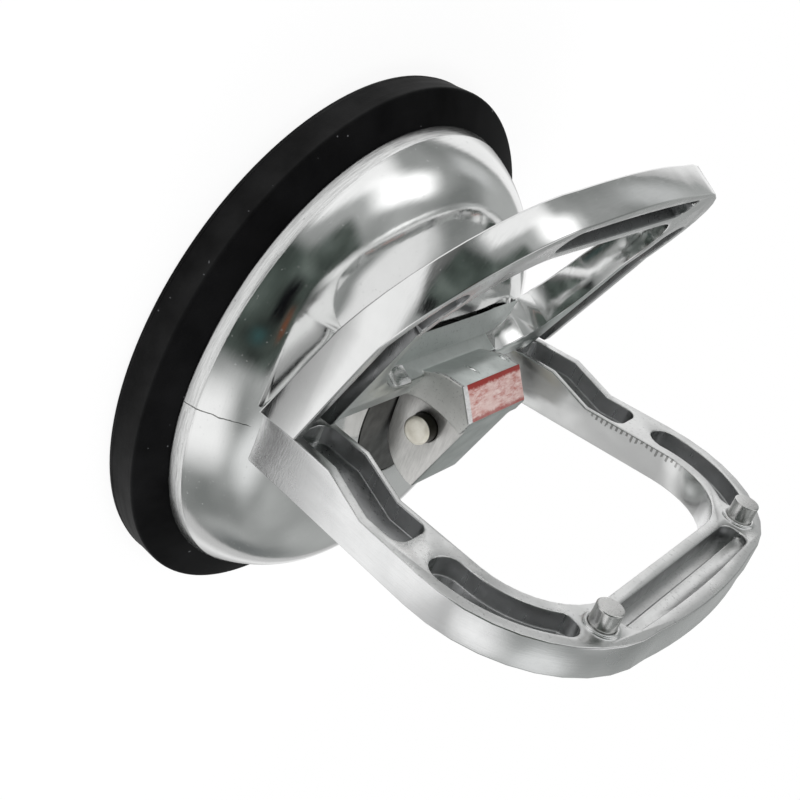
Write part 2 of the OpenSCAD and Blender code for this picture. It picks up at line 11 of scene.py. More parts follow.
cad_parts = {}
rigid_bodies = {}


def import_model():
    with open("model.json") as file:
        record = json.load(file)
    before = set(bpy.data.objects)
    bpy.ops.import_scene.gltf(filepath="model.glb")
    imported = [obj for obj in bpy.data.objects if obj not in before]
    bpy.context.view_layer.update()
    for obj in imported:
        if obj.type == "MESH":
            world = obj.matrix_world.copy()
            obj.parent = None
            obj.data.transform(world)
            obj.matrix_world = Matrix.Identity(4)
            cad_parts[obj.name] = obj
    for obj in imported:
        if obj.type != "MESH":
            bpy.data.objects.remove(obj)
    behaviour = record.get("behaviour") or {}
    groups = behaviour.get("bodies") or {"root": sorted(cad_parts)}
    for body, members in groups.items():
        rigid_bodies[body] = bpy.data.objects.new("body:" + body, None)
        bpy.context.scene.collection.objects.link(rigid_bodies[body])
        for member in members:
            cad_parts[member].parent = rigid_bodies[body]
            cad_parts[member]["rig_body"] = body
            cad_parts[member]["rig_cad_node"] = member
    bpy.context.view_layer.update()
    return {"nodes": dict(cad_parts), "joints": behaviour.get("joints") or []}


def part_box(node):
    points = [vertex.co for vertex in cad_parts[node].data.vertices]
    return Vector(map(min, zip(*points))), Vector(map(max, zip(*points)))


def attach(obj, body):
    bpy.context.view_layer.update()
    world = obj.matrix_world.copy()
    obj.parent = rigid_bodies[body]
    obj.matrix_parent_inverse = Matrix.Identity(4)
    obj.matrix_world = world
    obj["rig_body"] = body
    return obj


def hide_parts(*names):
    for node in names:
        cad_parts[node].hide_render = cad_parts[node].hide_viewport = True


bl_info = {
    "name": "Hand Suction Lifter",
    "version": (1, 0, 0),
    "blender": (4, 5, 0),
    "location": "View3D > Sidebar > Lifter",
    "description": "Dresses a squeeze-handle suction lifter: rubber pad, polished dome, "
                   "cast handles",
    "category": "Object",
}

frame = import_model()
MM = 0.001

# Places taken from the CAD parts
PIN_Z = next(j for j in frame["joints"] if j["name"] == "lever_squeeze")["pos_m"][2]
PIN = Vector((0, 0, PIN_Z))
DISC_LOW, DISC_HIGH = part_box("thrust_disc")
PEG_LOW, PEG_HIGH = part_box("stop_pegs")
PIN_LOW, PIN_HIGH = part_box("pivot_pin")
PAD_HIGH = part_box("suction_pad")[1]
MIDDLE_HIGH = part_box("pad_diaphragm")[1]
DOME_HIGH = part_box("dome_shell")[1]

# Limits for merging, rounding and smoothing
MERGE_GAP = 2e-7  # points this close become one
FLAT_ANGLE = 0.4  # degrees within one flat face
SHARP_ANGLE = 28  # degrees that make an edge sharp
SMOOTH_ANGLE = 34  # degrees shaded smooth on a casting
KNIFE = -0.75  # dot product at edges too keen to round
FOLD = 0.2  # dot product of a triangle turned off its face
SLIVER = 2e-9  # cross product of too thin a triangle
ROUND_TRIES = 8  # tries at leaving out edges that fold a face
STRAY = 0.4  # share of the rounding a point may lie off

# Both handles, measured from the pin and up the handle
BAR_HALF = 27.5 * MM  # half length of the crossbar's pocket
BAR_LOW = 53.5 * MM  # height where it starts
POCKET_DEPTH = 0.8 * MM  # front faces deeper than this lie in a pocket
TROUGH_DEPTH = 4.5 * MM  # the crossbar pocket's floor lies above this depth
POCKET_ROOM = 13 * MM  # walls of a pocket face each other within this
FACING = 0.5  # share of a normal that makes a face a front or a back

# The grip's front face and feet
FOOT_FRONT = 4.9 * MM  # front face at the feet
SETBACK = 3.7 * MM  # how far it slopes back above them
SLOPE_LOW, SLOPE_RUN = 4 * MM, 10 * MM
FOOT_TOP = -8 * MM  # pocket walls end at this height
FLARE_OUT, FLARE_TOP = 46.5 * MM, -9 * MM  # corners beyond and below these are drawn out
FLARE_RISE = 0.4  # rise of the flare for each length out

# The lever, which stands upright once the open angle is turned back
OPEN_TURN = Matrix.Rotation(math.radians(61), 3, "X")
LEVER_FRONT, LEVER_TAPER, ARM_FRONT = 6.6 * MM, 0.1, 9.8 * MM
HUB_HALF, HUB_BACK, HUB_LOW = 11.3 * MM, 14.2 * MM, -9 * MM
HUB_END = 10.6 * MM  # sides nearer the middle are milled
PAINT_WAY, PAINT_DOT, PAINT_FRONT = Vector((0, 0.56, 0.83)), 0.97, 7 * MM
WEB_TOP, WEB_FRONT_HALF, WEB_HALF = 18 * MM, 34 * MM, 13 * MM


class PadSettings(bpy.types.PropertyGroup):
    """Rubber pad"""
    edge_round: FloatProperty(
        name="Edge rounding", description="Radius along the pad's outer edges",
        default=0.5 * MM, unit="LENGTH")
    parting_height: FloatProperty(
        name="Parting line height", description="Height of the mould's parting line",
        default=0.95 * MM, unit="LENGTH")
    parting_size: FloatProperty(
        name="Parting line size", description="How far the parting line stands out",
        default=0.14 * MM, unit="LENGTH")
    colour: FloatVectorProperty(
        name="Rubber", description="Colour of the rubber", subtype="COLOR",
        default=(0.0026, 0.0026, 0.0028), min=0, max=1)
    steps: IntProperty(name="Steps", description="Faces around the pad", default=160, min=32)


class DomeSettings(bpy.types.PropertyGroup):
    """Polished dome"""
    rim_lean: FloatProperty(
        name="Rim lean", description="How far the rim's band leans in",
        default=0.6 * MM, unit="LENGTH")
    rim_height: FloatProperty(
        name="Rim height", description="Height of the rim's band", default=3.0 * MM, unit="LENGTH")
    shoulder_lean: FloatProperty(
        name="Shoulder lean", description="How far the shoulder leans in off the band",
        default=5.0 * MM, unit="LENGTH")
    shoulder_height: FloatProperty(
        name="Shoulder height", description="Height over which it leans",
        default=11.0 * MM, unit="LENGTH")
    top_radius: FloatProperty(
        name="Flat top radius", description="Radius of the flat top",
        default=22.0 * MM, unit="LENGTH")
    crown_run: FloatProperty(
        name="Crown run", description="Length of the crown's run into the flat top",
        default=18.0 * MM, unit="LENGTH")
    wall: FloatProperty(
        name="Wall", description="Thickness of the dome's wall", default=1.8 * MM, unit="LENGTH")
    steps: IntProperty(name="Steps", description="Faces around the dome", default=224, min=48)


class HandleSettings(bpy.types.PropertyGroup):
    """Cast handles"""
    edge_round: FloatProperty(
        name="Edge rounding", description="Rounding of the castings' edges",
        default=0.32 * MM, unit="LENGTH")
    edge_segments: IntProperty(
        name="Edge segments", description="Faces across a rounded edge", default=3, min=1)
    foot_flare: FloatProperty(
        name="Foot flare", description="How far the grip's foot corners are drawn out",
        default=1.8 * MM, unit="LENGTH")
    paint: FloatVectorProperty(
        name="Paint", description="Colour of the worn paint on the hub", subtype="COLOR",
        default=(0.33, 0.022, 0.016), min=0, max=1)
    metal: FloatVectorProperty(
        name="Casting", description="Colour of the castings", subtype="COLOR",
        default=(0.80, 0.805, 0.80), min=0, max=1)


class StageSettings(bpy.types.PropertyGroup):
    """Floor, lamps and camera"""
    lens: FloatProperty(name="Lens", description="Focal length for a 36 mm sensor", default=63.3)
    key: FloatProperty(
        name="Key", description="Power of the large soft lamp", default=6.0, subtype="POWER")
    floor: FloatVectorProperty(
        name="Floor", description="Colour of the floor", subtype="COLOR",
        default=(0.9, 0.9, 0.9), min=0, max=1)


# Outlines, as radius and height

def arc(centre, radius, start, end, steps):
    """Points of an arc in degrees."""
    points = []
    for i in range(steps + 1):
        a = math.radians(start + (end - start) * i / steps)
        points.append((centre[0] + radius * math.cos(a), centre[1] + radius * math.sin(a)))
    return points


def eased(corners, steps):
    """An open path through corners, each given as radius, height and its own rounding."""
    path = [corners[0][:2]]
    for i in range(1, len(corners) - 1):
        a, p, b = (Vector(corners[i + k][:2]) for k in (-1, 0, 1))
        r = corners[i][2]
        if r <= 0:
            path.append(tuple(p))
            continue
        u, w = (a - p).normalized(), (b - p).normalized()
        half = math.acos(max(-1.0, min(1.0, u.dot(w)))) / 2
        centre = p + (u + w).normalized() * (r / math.sin(half))
        run = r / math.tan(half)
        first, last = p + u * run - centre, p + w * run - centre
        start = math.degrees(math.atan2(first.y, first.x))
        turn = (math.degrees(math.atan2(last.y, last.x)) - start + 180) % 360 - 180
        path += arc(centre, r, start, start + turn, steps)
    return path + [corners[-1][:2]]


def swept(p, a, b, q, steps=56):
    """A smooth sweep from p to q that leaves p towards a and reaches q from b."""
    points = []
    for i in range(steps + 1):
        t = i / steps
        u = 1 - t
        points.append(tuple(
            u ** 3 * p[k] + 3 * u * u * t * a[k] + 3 * u * t * t * b[k] + t ** 3 * q[k]
            for k in (0, 1)))
    return points


def offset(path, distance):
    """The path moved to the right of its way."""
    moved = []
    for i, p in enumerate(path):
        before, after = path[max(i - 1, 0)], path[min(i + 1, len(path) - 1)]
        way = (Vector(after) - Vector(before)).normalized()
        moved.append((p[0] + distance * way.y, p[1] - distance * way.x))
    return moved


# Modelling by operators

def deselect():
    """Clears the selection, out of edit mode."""
    if bpy.context.object and bpy.context.object.mode != "OBJECT":
        bpy.ops.object.mode_set(mode="OBJECT")
    bpy.ops.object.select_all(action="DESELECT")


def only(piece):
    """Selects one piece alone."""
    deselect()
    piece.select_set(True)
    bpy.context.view_layer.objects.active = piece


def named(name):
    """The piece just made, under its own name."""
    piece = bpy.context.object
    piece.name = piece.data.name = name
    return piece


def edit():
    """Enters edit mode."""
    bpy.ops.object.mode_set(mode="EDIT")


def leave():
    """Leaves edit mode."""
    bpy.ops.object.mode_set(mode="OBJECT")


def unpick(mesh):
    """Clears the selection of points, edges and faces."""
    for part in (mesh.vertices, mesh.edges, mesh.polygons):
        part.foreach_set("select", [False] * len(part))


def clean(piece, turn_out=True):
    """Merges doubles and turns the faces out."""
    only(piece)
    edit()
    bpy.ops.mesh.select_all(action="SELECT")
    bpy.ops.mesh.remove_doubles(threshold=MERGE_GAP)
    if turn_out:
        bpy.ops.mesh.normals_make_consistent()
    leave()


def smooth(piece, degrees=32):
    """Shades the piece smooth up to an angle."""
    only(piece)
    bpy.ops.object.shade_smooth_by_angle(angle=math.radians(degrees))


def spun(name, outline, steps):
    """A piece turned about the dome's axis from an outline of radius and height."""
    deselect()
    bpy.ops.mesh.primitive_plane_add(size=MM, location=(0, 0, 0))
    piece = named(name)
    edit()
    bpy.ops.mesh.select_all(action="SELECT")
    bpy.ops.mesh.merge(type="CENTER")
    at = outline[0]
    bpy.ops.transform.translate(value=(at[0], 0, at[1]))
    for r, z in outline[1:]:
        step = (r - at[0], 0, z - at[1])
        bpy.ops.mesh.extrude_vertices_move(TRANSFORM_OT_translate={"value": step})
        at = (r, z)
    bpy.ops.mesh.select_all(action="SELECT")
    bpy.ops.mesh.spin(steps=steps, angle=2 * math.pi, center=(0, 0, 0), axis=(0, 0, 1))
    leave()
    clean(piece)
    smooth(piece)
    return piece


def casting_copy(node, name):
    """A copy of a CAD node's mesh, merged, with each flat face in one piece."""
    only(frame["nodes"][node])
    bpy.ops.object.duplicate()
    bpy.ops.object.parent_clear(type="CLEAR_KEEP_TRANSFORM")
    piece = named(name)
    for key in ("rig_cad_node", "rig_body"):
        piece.pop(key, None)
    piece.data.materials.clear()
    clean(piece, turn_out=False)
    edit()
    bpy.ops.mesh.select_all(action="SELECT")
    bpy.ops.mesh.dissolve_limited(angle_limit=math.radians(FLAT_ANGLE), delimit=set())
    leave()
    return piece


def folded(mesh):
    """Corners of the triangles that turn away from the face they belong to."""
    mesh.calc_loop_triangles()
    found = []
    for part in mesh.loop_triangles:
        a, b, c = (mesh.vertices[i].co.copy() for i in part.vertices)
        across = (b - a).cross(c - a)
        normal = mesh.polygons[part.polygon_index].normal
        if across.length > SLIVER and across.normalized().dot(normal) < FOLD:
            found += (a, b, c)
    return found


def weigh(mesh, wanted):
    """Gives the wanted edges a full bevel weight and all others none."""
    unpick(mesh)
    mesh.edges.foreach_set("select", wanted)
    edit()
    bpy.ops.mesh.select_mode(type="EDGE")
    bpy.ops.transform.edge_bevelweight(value=1.0)
    bpy.ops.mesh.select_all(action="INVERT")
    bpy.ops.transform.edge_bevelweight(value=-1.0)
    leave()


def sharp_edges(mesh, degrees, plain):
    """For each edge, whether it is sharp, no knife edge and not one that plain() names."""
    edit()
    bpy.ops.mesh.select_mode(type="EDGE")
    bpy.ops.mesh.select_all(action="DESELECT")
    bpy.ops.mesh.edges_select_sharp(sharpness=math.radians(degrees))
    leave()
    sides = {}
    for face in mesh.polygons:
        for key in face.edge_keys:
            sides.setdefault(key, []).append(face.normal.copy())
    sharp = []
    for edge in mesh.edges:
        pair = sides[edge.key]
        knife = len(pair) == 2 and pair[0].dot(pair[1]) < KNIFE
        a, b = (mesh.vertices[i].co for i in edge.vertices)
        left_out = knife or plain is not None and plain((a + b) / 2)
        sharp.append(edge.select and not left_out)
    return sharp


def gap(point, a, b):
    """Distance of a point from the edge between a and b."""
    along = intersect_point_line(point, a, b)[1]
    return (a.lerp(b, min(max(along, 0), 1)) - point).length


def bevelled(piece, width, segments, degrees, onto=None, plain=None):
    """Rounds the sharp edges, all but those plain() names and those that would fold a face.

    Points thrown off the surface are drawn back onto a CAD node."""
    only(piece)
    mesh = piece.data
    sharp = sharp_edges(mesh, degrees, plain)
    ends = [[mesh.vertices[i].co.copy() for i in edge.vertices] for edge in mesh.edges]
    bpy.ops.object.modifier_add(type="BEVEL")
    bevel = piece.modifiers[-1]
    bevel.width = width
    bevel.segments = segments
    bevel.limit_method = "WEIGHT"
    bevel.use_clamp_overlap = False
    bevel.miter_outer = "MITER_ARC"
    for _ in range(ROUND_TRIES):
        weigh(mesh, sharp)
        trial = piece.evaluated_get(bpy.context.evaluated_depsgraph_get())
        bad = folded(trial.to_mesh())
        trial.to_mesh_clear()
        if not bad:
            break
        for index, (a, b) in enumerate(ends):
            if sharp[index] and any(gap(point, a, b) < 2 * width for point in bad):
                sharp[index] = False
    bpy.ops.object.modifier_apply(modifier=bevel.name)
    if onto is not None:
        draw_back(piece, onto, STRAY * width)


def draw_back(piece, onto, limit):
    """Draws points further off a CAD node than the limit back onto it."""
    skin = BVHTree.FromObject(onto, bpy.context.evaluated_depsgraph_get())
    stray = [v.index for v in piece.data.vertices if skin.find_nearest(v.co)[3] > limit]
    if not stray:
        return
    group = piece.vertex_groups.new(name="stray")
    group.add(stray, 1.0, "REPLACE")
    bpy.ops.object.modifier_add(type="SHRINKWRAP")
    wrap = piece.modifiers[-1]
    wrap.target = onto
    wrap.vertex_group = group.name
    bpy.ops.object.modifier_apply(modifier=wrap.name)
    piece.vertex_groups.clear()


def finish_piece(piece, body, slot, *nodes):
    """Puts a piece on its body and in place of its CAD nodes; the slot is not used."""
    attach(piece, body)
    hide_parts(*nodes)


# Materials

def toned(colour, share):
    """A colour made lighter or darker."""
    return tuple(share * c for c in colour)


def rgba(tone):
    """A colour socket's value for a colour or a grey."""
    colour = tone if hasattr(tone, "__len__") else (tone,) * 3
    return (*colour[:3], 1)


class Nodes:
    """A node tree and short ways to fill it."""

    def __init__(self, tree):
        self.tree = tree

    def first(self, *kinds):
        return next(n for n in self.tree.nodes if n.type in kinds)

    def feed(self, socket, value):
        """Links a socket to another one or sets its value."""
        if isinstance(value, bpy.types.NodeSocket):
            self.tree.links.new(value, socket)
        else:
            socket.default_value = value

    def node(self, kind, settings=None, **inputs):
        made = self.tree.nodes.new(kind)
        for key, value in (settings or {}).items():
            setattr(made, key, value)
        for key, value in inputs.items():
            self.feed(made.inputs[key], value)
        return made

    def math(self, how, a, b=0.0):
        n = self.node("ShaderNodeMath", {"operation": how})
        self.feed(n.inputs[0], a)
        self.feed(n.inputs[1], b)
        return n.outputs[0]

    plus = partialmethod(math, "ADD")
    minus = partialmethod(math, "SUBTRACT")
    times = partialmethod(math, "MULTIPLY")
    most = partialmethod(math, "MAXIMUM")

    def length(self, a, b):
        """Length of a step of a one way and b across."""
        return self.math("SQRT", self.plus(self.times(a, a), self.times(b, b)))

    def seen(self, path):
        """1 for rays that look at a surface, 0 for those that only light it."""
        straight, mirrored, through = (
            path.outputs[f"Is {ray} Ray"] for ray in ("Camera", "Glossy", "Transmission"))
        return self.most(straight, self.most(mirrored, through))

    def show(self, share, one, other):
        """Shows one shader, and another by a share."""
        both = self.node("ShaderNodeMixShader")
        for socket, value in zip(both.inputs, (share, one, other)):
            self.feed(socket, value)
        out = self.first("OUTPUT_MATERIAL", "OUTPUT_WORLD")
        self.feed(out.inputs["Surface"], both.outputs[0])


class Finish(Nodes):
    """A material and the nodes that make it, in object coordinates."""

    def __init__(self, name):
        self.material = bpy.data.materials.new(name)
        self.material.use_nodes = True
        super().__init__(self.material.node_tree)
        self.shader = self.first("BSDF_PRINCIPLED")
        self.where = self.node("ShaderNodeTexCoord").outputs["Object"]

    def put(self, socket, value):
        self.feed(self.shader.inputs[socket], value)

    def done(self, colour, rough, normal, metallic=1.0):
        """Puts the look on the shader and gives the material."""
        self.put("Base Color", colour)
        self.put("Metallic", metallic)
        self.put("Roughness", rough)
        self.put("Normal", normal)
        return self.material

    def xyz(self):
        return tuple(self.node("ShaderNodeSeparateXYZ", Vector=self.where).outputs)

    def scaled(self, scale, turn=(0, 0, 0)):
        """Object coordinates turned and stretched."""
        n = self.node("ShaderNodeMapping", Vector=self.where, Scale=scale, Rotation=turn)
        return n.outputs["Vector"]

    def rings(self, fine, along):
        """Coordinates around the dome's axis, for lines that turning leaves."""
        x, y, z = self.xyz()
        around = self.node("ShaderNodeCombineXYZ")
        self.feed(around.inputs[0], self.times(self.length(x, y), fine))
        self.feed(around.inputs[1], self.times(self.math("ARCTAN2", y, x), along))
        self.feed(around.inputs[2], self.times(z, fine))
        return around.outputs[0]

    def noise(self, scale, detail=3.0, rough=0.55, where=None, twist=0.0):
        return self.node("ShaderNodeTexNoise", Vector=where or self.where, Scale=scale,
                         Detail=detail, Roughness=rough, Distortion=twist).outputs["Fac"]

    def wander(self, scale, reach):
        """A length that wanders to both sides of nought."""
        return self.times(self.minus(self.noise(scale, 3), 0.5), reach)

    def ramp(self, fac, *stops):
        n = self.node("ShaderNodeValToRGB", Fac=fac)
        elements = n.color_ramp.elements
        while len(elements) < len(stops):
            elements.new(0.5)
        for element, (at, tone) in zip(elements, stops):
            element.position = at
            element.color = rgba(tone)
        return n.outputs["Color"]

    def span(self, fac, low, high):
        """Runs from low to high over the middle of a noise."""
        return self.ramp(fac, (0.3, low), (0.7, high))

    def pits(self, scale):
        """Sparse small pits."""
        return self.ramp(self.noise(scale, 1), (0.0, 1.0), (0.235, 1.0), (0.255, 0.0))

    def between(self, value, low, high):
        """Rises from 0 at low to 1 at high."""
        n = self.node("ShaderNodeMapRange", {"interpolation_type": "SMOOTHSTEP"}, Value=value)
        n.inputs["From Min"].default_value = low
        n.inputs["From Max"].default_value = high
        return n.outputs["Result"]

    def mix(self, fac, a, b):
        n = self.node("ShaderNodeMix", {"data_type": "RGBA"})
        self.feed(n.inputs[0], fac)
        for socket, tone in ((n.inputs[6], a), (n.inputs[7], b)):
            self.feed(socket, tone if isinstance(tone, bpy.types.NodeSocket) else rgba(tone))
        return n.outputs[2]

    def drift(self, fac, low, high, colour, share):
        """A colour that drifts to a share of itself from low to high."""
        return self.mix(self.ramp(fac, (low, 0.0), (high, 1.0)), colour, toned(colour, share))

    def glow(self, colour, cover=1.0):
        """Turns the material into a plain glow that covers what cover says."""
        light = self.node("ShaderNodeEmission", Color=colour, Strength=1.0)
        clear = self.node("ShaderNodeBsdfTransparent")
        self.show(cover, clear.outputs[0], light.outputs[0])
        self.tree.nodes.remove(self.shader)

    def bump(self, height, strength, distance, under=None):
        n = self.node("ShaderNodeBump", Height=height, Strength=strength, Distance=distance)
        if under is not None:
            self.feed(n.inputs["Normal"], under)
        return n.outputs["Normal"]


def rubber(name, colour):
    """Black moulded rubber: dull on top, a sheen down its side, fine turning lines and dust."""
    f = Finish(name)
    cloud = f.noise(70, 4)
    grain = f.noise(2600, 2)
    lines = f.noise(1.0, 2, 0.6, f.rings(900, 2))
    dust = f.ramp(f.noise(620, 1.0, 0.4), (0.0, 0.0), (0.795, 0.0), (0.81, 1.0))
    tone = f.mix(dust, f.drift(cloud, 0.35, 0.7, colour, 2.2), (0.11, 0.113, 0.118))
    side = f.between(f.xyz()[2], 7.0 * MM, 6.4 * MM)
    rough = f.mix(side, f.span(cloud, 0.50, 0.62), f.span(lines, 0.34, 0.46))
    sheen = f.mix(side, f.span(cloud, 0.02, 0.05), f.span(cloud, 0.14, 0.40))
    f.put("Specular IOR Level", sheen)
    normal = f.bump(lines, 0.12, 0.0002, f.bump(grain, 0.18, 0.00012))
    return f.done(tone, rough, normal, 0.0)


def polished(name, colour, rough):
    """Polished casting: bright, with a slight waviness, fine scratches and a few pits."""
    f = Finish(name)
    wave = f.noise(55, 2)
    cloud = f.noise(130, 4)
    fine = f.noise(1.0, 3, 0.7, f.scaled((420, 420, 4200), (0.5, 0.3, 0.0)))
    low = f.bump(fine, 0.03, 0.0001, f.bump(wave, 0.08, 0.002))
    return f.done(
        f.drift(cloud, 0.3, 0.75, colour, 0.93),
        f.ramp(fine, (0.35, rough), (0.72, rough + 0.10)),
        f.bump(f.pits(1300), 0.12, 0.0001, low))


def polished_dome(name, colour):
    """Spun and polished dome: fine lines around it, a drawn rim band, a seam and a few pits."""
    f = Finish(name)
    x, y, z = f.xyz()
    lines = f.noise(1.0, 3, 0.7, f.rings(2600, 9))
    wave = f.noise(60, 2)
    cloud = f.noise(140, 4)
    band = f.between(z, 13.0 * MM, 12.2 * MM)
    off_seam = f.math("ABSOLUTE", f.plus(f.minus(y, 1.6 * MM), f.wander(420, 0.9 * MM)))
    seam = f.times(f.between(off_seam, 0.13 * MM, 0.04 * MM), f.between(x, -45.8 * MM, -46.6 * MM))
    tone = f.drift(cloud, 0.3, 0.75, colour, 0.94)
    drawn = f.times(band, f.ramp(lines, (0.35, 1.0), (0.6, 0.0)))
    tone = f.mix(drawn, tone, toned(colour, 0.72))
    tone = f.mix(f.times(seam, 0.8), tone, (0.10, 0.10, 0.09))
    rough = f.mix(band, f.ramp(lines, (0.35, 0.07), (0.72, 0.15)), f.span(lines, 0.14, 0.24))
    height = f.times(f.plus(0.12, f.times(band, 0.45)), lines)
    low = f.bump(height, 0.25, 0.0001, f.bump(wave, 0.05, 0.002))
    cut = f.minus(f.times(f.pits(1500), 0.3), seam)
    return f.done(tone, rough, f.bump(cut, 0.5, 0.0001, low))


def opening_side(name, colour):
    """Side of the hand opening: polished, with tool ticks under the front edge of the right arm."""
    f = Finish(name)
    x, y, z = f.xyz()
    cloud = f.noise(130, 4)
    wave = f.noise(55, 2)
    pitch = 1.25 * MM
    beat = f.math("FRACT", f.math("DIVIDE", z, pitch))
    tick = f.times(f.between(beat, 0.34, 0.44), f.between(beat, 0.86, 0.76))
    end = f.minus(1.25 * MM, f.times(f.noise(520, 2), 2.6 * MM))
    row = f.times(f.between(f.minus(y, end), -0.1 * MM, 0.1 * MM), f.between(x, 20 * MM, 25 * MM))
    starts = f.between(z, PIN_Z + 14 * MM, PIN_Z + 17 * MM)
    stops = f.between(z, PIN_Z + 40 * MM, PIN_Z + 36 * MM)
    ticks = f.times(tick, f.times(row, f.times(starts, stops)))
    tone = f.drift(cloud, 0.3, 0.75, colour, 0.9)
    return f.done(
        f.mix(f.times(ticks, 0.75), tone, (0.20, 0.20, 0.19)),
        f.ramp(cloud, (0.3, 0.15), (0.72, 0.26)),
        f.bump(ticks, -0.5, 0.0003, f.bump(wave, 0.16, 0.002)))


def cast(name, colour, rough, grain_size=1500):
    """Tumbled casting: a fine grain and soft grey patches."""
    f = Finish(name)
    cloud = f.noise(160, 5)
    grain = f.noise(grain_size, 3, 0.6)
    tone = f.drift(cloud, 0.32, 0.72, colour, 0.86)
    return f.done(
        f.mix(f.ramp(grain, (0.30, 1.0), (0.42, 0.0)), tone, toned(colour, 0.72)),
        f.span(cloud, rough - 0.05, rough + 0.08),
        f.bump(grain, 0.10, 0.0002, f.bump(cloud, 0.10, 0.0006)))


def pocket(name, colour):
    """Unpolished pocket walls with draw marks down the wall and a darker bloom; their darker colour
    is painted shade for the recess.
    """
    f = Finish(name)
    cloud = f.noise(170, 4)
    drawn = f.noise(1.0, 3, where=f.scaled((900, 90, 900)))
    return f.done(
        f.drift(cloud, 0.3, 0.7, colour, 0.78),
        f.span(drawn, 0.24, 0.40),
        f.bump(drawn, 0.05, 0.0002, f.bump(cloud, 0.12, 0.0008)))


def satin(name, colour):
    """Linished side: a satin sheen with fine lines along it and cross scratches at the foot."""
    f = Finish(name)
    lines = f.noise(1.0, 3, 0.6, f.scaled((300, 3000, 160)))
    crossed = f.noise(1.0, 3, 0.65, f.scaled((300, 700, 3600), (0.5, 0.0, 0.0)))
    cloud = f.noise(150, 4)
    grain = f.noise(2400, 2)
    foot = f.between(f.xyz()[2], PIN_Z + 6 * MM, PIN_Z - 6 * MM)
    marks = f.mix(foot, lines, crossed)
    worn = f.times(f.ramp(marks, (0.3, 1.0), (0.55, 0.0)), f.mix(foot, 0.14, 0.42))
    tone = f.mix(worn, f.drift(cloud, 0.35, 0.7, colour, 0.93), toned(colour, 0.7))
    low = f.bump(f.noise(45, 2), 0.10, 0.002, f.bump(grain, 0.05, 0.0001))
    height = f.times(f.plus(foot, 0.35), marks)
    return f.done(tone, f.span(cloud, 0.19, 0.29), f.bump(height, 0.14, 0.0002, low))


def hub_casting(name, colour):
    """As-cast hub: grey skin tinted grey-green as painted reflection of the room, a crumbly bead
    along its ends and two raised drops painted near white as glints.
    """
    f = Finish(name)
    x, y, z = f.xyz()
    cloud = f.noise(190, 5)
    grain = f.noise(1500, 3, 0.6)
    crumbs = f.noise(1900, 3, 0.7)
    end = f.times(f.between(f.math("ABSOLUTE", x), 10.05 * MM, 10.45 * MM),
                  f.between(z, PIN_Z - 2.4 * MM, PIN_Z - 1.2 * MM))
    # Two raised drops, painted near white as painted highlights
    glint_drops = 0.0
    for across, up, tall in ((-2.3, 1.9, 1.7), (9.2, 2.4, 1.2)):
        dx = f.times(f.minus(x, across * MM), 1.9)
        dz = f.math("DIVIDE", f.minus(z, PIN_Z + up * MM), tall)
        glint_drop = f.times(f.between(f.length(dx, dz), 1.35 * MM, 0.5 * MM),
                       f.between(y, 11.5 * MM, 12.5 * MM))
        glint_drops = f.most(glint_drops, glint_drop)
    tone = f.drift(cloud, 0.32, 0.72, colour, 0.86)
    tone = f.mix(f.ramp(grain, (0.28, 1.0), (0.40, 0.0)), tone, toned(colour, 0.78))
    tone = f.mix(end, tone, f.ramp(crumbs, (0.36, 0.10), (0.50, 0.42), (0.62, 0.80)))
    low = f.bump(grain, 0.10, 0.0002, f.bump(cloud, 0.12, 0.0006))
    low = f.bump(f.times(end, crumbs), 0.9, 0.0006, low)
    # Painted highlight: the drops are painted near white on the hub
    return f.done(
        f.mix(glint_drops, tone, (0.93, 0.95, 0.94)),
        f.mix(glint_drops, f.span(cloud, 0.36, 0.50), 0.16),
        f.bump(glint_drops, 0.8, 0.0008, low))


def pin_finish(name):
    """Pin with a bright ivory end and a near-black side that is painted shade and dark reflection.
    """
    f = Finish(name)
    cloud = f.noise(420, 4)
    fine = f.noise(3000, 2)
    end = f.between(f.math("ABSOLUTE", f.xyz()[0]), PIN_HIGH.x - 0.75 * MM, PIN_HIGH.x - 0.45 * MM)
    bright = f.mix(f.span(cloud, 0.0, 1.0), (0.92, 0.89, 0.80), (0.76, 0.72, 0.62))
    # Painted shade: the pin's side is painted near black against its bright end
    return f.done(
        f.mix(end, (0.055, 0.05, 0.042), bright),
        f.span(cloud, 0.30, 0.46),
        f.bump(f.plus(fine, cloud), 0.12, 0.0003),
        f.mix(end, 1.0, f.span(cloud, 0.45, 0.7)))


def milled(name, colour, stretch, rough):
    """Milled face with fine lines."""
    f = Finish(name)
    lines = f.noise(1.0, 4, 0.65, f.scaled(stretch))
    cloud = f.noise(120, 4)
    return f.done(
        f.mix(f.ramp(lines, (0.3, 1.0), (0.62, 0.0)), colour, toned(colour, 0.84)),
        f.mix(f.span(cloud, 0.0, 1.0), rough, rough + 0.12),
        f.bump(lines, 0.16, 0.0002))


def worn_paint(name, colour):
    """Red paint worn down to pale primer, whole along two edges, bare metal at its near end."""
    f = Finish(name)
    x, _, z = f.xyz()
    patches = f.noise(1.0, 6, 0.72, f.scaled((420, 1500, 1500)))
    broad = f.noise(260, 3)
    ragged = f.wander(1300, 0.7 * MM)
    height = f.plus(z, ragged)
    lower = f.between(height, PIN_Z + 6.35 * MM, PIN_Z + 6.05 * MM)
    upper = f.times(f.between(height, PIN_Z + 9.15 * MM, PIN_Z + 9.5 * MM), 0.7)
    bare = f.between(f.plus(x, ragged), -9.2 * MM, -9.5 * MM)
    tone = f.mix(f.ramp(patches, (0.36, 0.0), (0.62, 1.0)),
                 (0.36, 0.105, 0.085), (0.62, 0.50, 0.475))
    tone = f.mix(f.ramp(broad, (0.40, 0.0), (0.66, 0.75)), tone, (0.60, 0.46, 0.43))
    tone = f.mix(f.most(lower, upper), tone, toned(colour, 0.72))
    return f.done(
        f.mix(bare, tone, f.span(patches, 0.40, 0.62)),
        f.span(patches, 0.40, 0.58),
        f.bump(patches, 0.2, 0.0002), 0.0)


